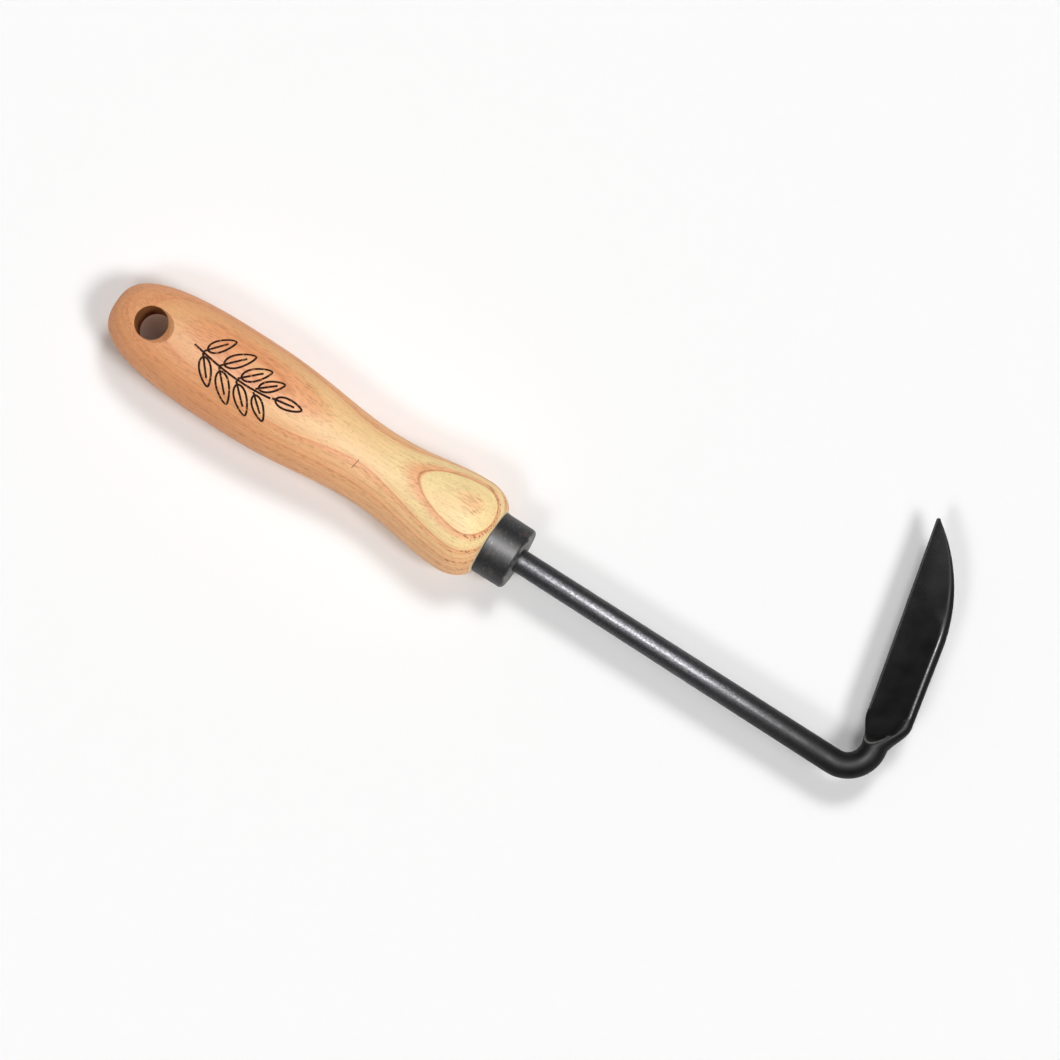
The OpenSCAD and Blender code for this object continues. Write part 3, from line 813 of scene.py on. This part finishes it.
class HOE_OT_forge_head(bpy.types.Operator):
    """Forge the head in one piece from the tang's tip to the blade's tip"""
    bl_idname = "hoe.forge_head"
    bl_label = "Forge head"

    def execute(self, context):
        size = context.scene.hoe_head
        columns = 180
        turns = np.arange(columns) / columns * math.tau
        tip_x, shank_x, bend_x = HEAD_LOW.x, FERRULE_HIGH.x - size.shank_seat, FERRULE_HIGH.x + size.shank_length
        front_r = size.shank_front_d / 2
        rear_r = size.shank_d / 2 - (front_r - size.shank_d / 2) * size.shank_seat / size.shank_length
        # The tang is a square with its corners eased: this is half its side, for a side of one.
        squared = 0.5 / (np.abs(np.cos(turns)) ** 12 + np.abs(np.sin(turns)) ** 12) ** (1 / 12)

        def bar(x, radii):
            return [(x, -r * math.cos(t), r * math.sin(t)) for r, t in zip(np.broadcast_to(radii, columns), turns)]

        # The neck and the blade run ahead from the bend's end. Their sections lie closest about the heel.
        blade = Blade(size)
        out = Vector((math.cos(size.lean), math.sin(size.lean), 0))
        ahead = Vector((-math.sin(size.lean), math.cos(size.lean), 0))
        root = Vector((bend_x, size.bend_radius, 0)) + out * size.bend_radius
        body = size.blade_length - size.tip_radius
        spacing, past_heel = 0.15 * MM, 14 * MM
        stations = np.concatenate((
            np.arange(spacing, past_heel, spacing), np.linspace(past_heel, size.back_curve, 30),
            np.linspace(size.back_curve, body, 64)[1:]))

        def section(v, across, up):
            return [root + out * w + ahead * v + Vector((0, 0, z)) for w, z in zip(across, up)]

        bpy.ops.object.select_all(action="DESELECT")
        bpy.ops.mesh.primitive_circle_add(vertices=columns, radius=size.tang_tip / 2, fill_type="NGON",
                                          location=(tip_x, 0, 0), rotation=(0, math.pi / 2, 0))
        head = bpy.context.object
        head.name = "forged_hoe_head"
        bpy.ops.object.transform_apply()
        numbers = head.data.attributes.new("column", "INT", "POINT")
        for i, vert in enumerate(head.data.vertices):
            turn = math.atan2(vert.co.z, -vert.co.y) % math.tau
            numbers.data[i].value = round(turn / math.tau * columns) % columns

        with edit_mode():
            # The tang from its tip, then the round shank, with the tip and the seat's edge eased.
            tip_ease, seat_ease, steps = 0.4 * MM, 0.1 * MM, 12
            bpy.ops.mesh.select_all(action="SELECT")
            lay_ring(head, bar(tip_x, (size.tang_tip - 2 * tip_ease) * squared))
            rings = [(tip_x + tip_ease, size.tang_tip * squared), (shank_x, size.tang_root * squared),
                     (shank_x, rear_r - seat_ease), (shank_x + seat_ease, rear_r)]
            rings += [(shank_x + (bend_x - shank_x) * t, rear_r + (front_r - rear_r) * t)
                      for t in np.arange(1, steps + 1) / steps]
            for x, radii in rings:
                next_ring(head, bar(x, radii))

            # The bend, spun from the shank's end, and the neck and blade, each ring laid on the blade's skin.
            bpy.ops.mesh.spin(steps=40, angle=math.pi / 2 + size.lean, center=(bend_x, size.bend_radius, 0),
                              axis=(0, 0, -1))
            for v in stations:
                across, up = blade.ring(v, turns)
                next_ring(head, section(v, across, up))

            # The rounded tip: the last section shrinks about its middle.
            middle_w, middle_z = across.mean(), up.mean()
            for a in np.radians(np.arange(15, 91, 15)):
                shrink = max(math.cos(a), 0.05)
                next_ring(head, section(body + size.tip_radius * math.sin(a), middle_w + (across - middle_w) * shrink,
                                        middle_z + (up - middle_z) * shrink))
            bpy.ops.mesh.edge_face_add()
            close_up(2 * MERGE)

        # Mark where soil rubs the ridges and the edge bare, with a painted highlight along the ridges, and where the
        # flat is pressed smooth.
        places = np.array([vert.co - root for vert in head.data.vertices])
        marks = blade.wear_and_highlight(places @ np.array(ahead), places @ np.array(out), places[:, 2])
        for name, mark in zip(("rubbed", "pressed"), marks):
            head.data.attributes.new(name, "FLOAT", "POINT").data.foreach_set("value", mark)
        head.data.attributes.remove(head.data.attributes["column"])
        give(head, forge_black_steel(size))
        finish(head, "forged_head", crease=45)
        return {"FINISHED"}


# -------- the stage

class HOE_OT_set_stage(bpy.types.Operator):
    """Set the floor, the lights and the camera"""
    bl_idname = "hoe.set_stage"
    bl_label = "Set stage"

    def execute(self, context):
        stage = context.scene.hoe_stage
        bpy.ops.object.select_all(action="DESELECT")
        bpy.ops.mesh.primitive_plane_add(size=stage.floor_size, location=(0, 0, CAD_BOX[0].z - 0.1 * MM))
        floor = bpy.context.object
        floor.name = "floor"
        # White matt board. A camera below it sees through it, so that the tool's underside shows.
        material, add = emptied(bpy.data.materials.new("white_matt_board"))
        matt = add("BsdfPrincipled", {"Base Color": stage.floor, "Roughness": 0.9, "Specular IOR Level": 0.0})[0]
        clear = add("BsdfTransparent")[0]
        below = add("NewGeometry")["Backfacing"]
        seen = add("LightPath")["Is Camera Ray"]
        below = add("Math", {0: below, 1: seen}, operation="MULTIPLY")[0]
        board = add("MixShader", {0: below, 1: matt, 2: clear})[0]
        add("OutputMaterial", {"Surface": board})
        give(floor, material)

        # The soft lamps lean far enough that no direct light falls through the hang hole, which stays dark.
        # The sheen lamp overhead shows only in the gloss of the steel and the oiled wood.
        for name, level, width, across, towards_blade in (
                ("key", stage.key_level, stage.softness, 0, stage.key_tilt),
                ("left_side", stage.left_level, stage.softness, -stage.side_tilt, 0),
                ("right_side", stage.right_level, stage.softness, stage.side_tilt, 0),
                ("overhead_sheen", stage.sheen_level, stage.sheen_width, -stage.sheen_tilt, 0)):
            bpy.ops.object.light_add(type="SUN", rotation=(across, towards_blade, 0))
            lamp = bpy.context.object
            lamp.name = name
            lamp.data.energy = math.pi * level
            lamp.data.angle = width
            lamp.visible_diffuse = name != "overhead_sheen"

        # Even fill from above. Below the horizon it is white, which shows where a camera sees past the floor.
        world, add = emptied(bpy.data.worlds.new("even_fill"))
        way = add("TexCoord")["Generated"]
        height = add("SeparateXYZ", {0: way})["Z"]
        level = add("MapRange", {
            "Value": height, "From Min": 0.03, "From Max": 0.06, "To Min": 1.0, "To Max": stage.fill_level})[0]
        fill = add("Background", {"Color": linear("#ffffff"), "Strength": level})[0]
        add("OutputWorld", {"Surface": fill})
        context.scene.world = world

        # The camera looks down at the tool through a long lens. The view's width is measured at 12 mm of height.
        back = Vector((math.sin(stage.view_tilt), -math.sin(stage.view_swing), 0))
        back.z = math.sqrt(1 - back.length_squared)
        along = (Vector((1, 0, 0)) - back * back.x).normalized()
        beside = back.cross(along)
        right = along * math.cos(stage.view_roll) + beside * math.sin(stage.view_roll)
        up = beside * math.cos(stage.view_roll) - along * math.sin(stage.view_roll)
        sensor = 36
        distance = stage.view_width * stage.lens / sensor + 12 * MM
        bpy.ops.object.camera_add()
        camera = bpy.context.object
        camera.name = "camera"
        camera.data.lens = stage.lens
        camera.data.sensor_width = sensor
        camera.data.clip_start, camera.data.clip_end = 0.05, 50
        camera.matrix_world = Matrix.Translation(
            right * stage.view_right - up * stage.view_down + back * distance
        ) @ Matrix((right, up, back)).transposed().to_4x4()
        context.scene.camera = camera
        context.scene.view_settings.view_transform = "Standard"
        return {"FINISHED"}


# -------- the add-on

class HOE_PT_panel(bpy.types.Panel):
    """The draw hoe's pieces, and the sizes and colours of each"""
    bl_label = "Draw hoe"
    bl_idname = "HOE_PT_panel"
    bl_space_type = "VIEW_3D"
    bl_region_type = "UI"
    bl_category = "Draw hoe"

    def draw(self, context):
        for name, group, operator in STEPS:
            box = self.layout.box()
            for setting in group.__annotations__:
                box.prop(getattr(context.scene, name), setting)
            box.operator(operator.bl_idname)


STEPS = (("hoe_handle", HandleSettings, HOE_OT_turn_handle), ("hoe_ferrule", FerruleSettings, HOE_OT_draw_ferrule),
         ("hoe_head", HeadSettings, HOE_OT_forge_head), ("hoe_stage", StageSettings, HOE_OT_set_stage))


def register():
    """Add the operators, the panel and the scene's settings."""
    for name, group, operator in STEPS:
        bpy.utils.register_class(group)
        bpy.utils.register_class(operator)
        setattr(bpy.types.Scene, name, PointerProperty(type=group))
    bpy.utils.register_class(HOE_PT_panel)


def unregister():
    """Take away what register added."""
    bpy.utils.unregister_class(HOE_PT_panel)
    for name, group, operator in reversed(STEPS):
        delattr(bpy.types.Scene, name)
        bpy.utils.unregister_class(operator)
        bpy.utils.unregister_class(group)


def main():
    """Make the whole scene."""
    register()
    bpy.ops.hoe.turn_handle()
    bpy.ops.hoe.draw_ferrule()
    bpy.ops.hoe.forge_head()
    bpy.ops.hoe.set_stage()


if __name__ == "__main__":
    main()
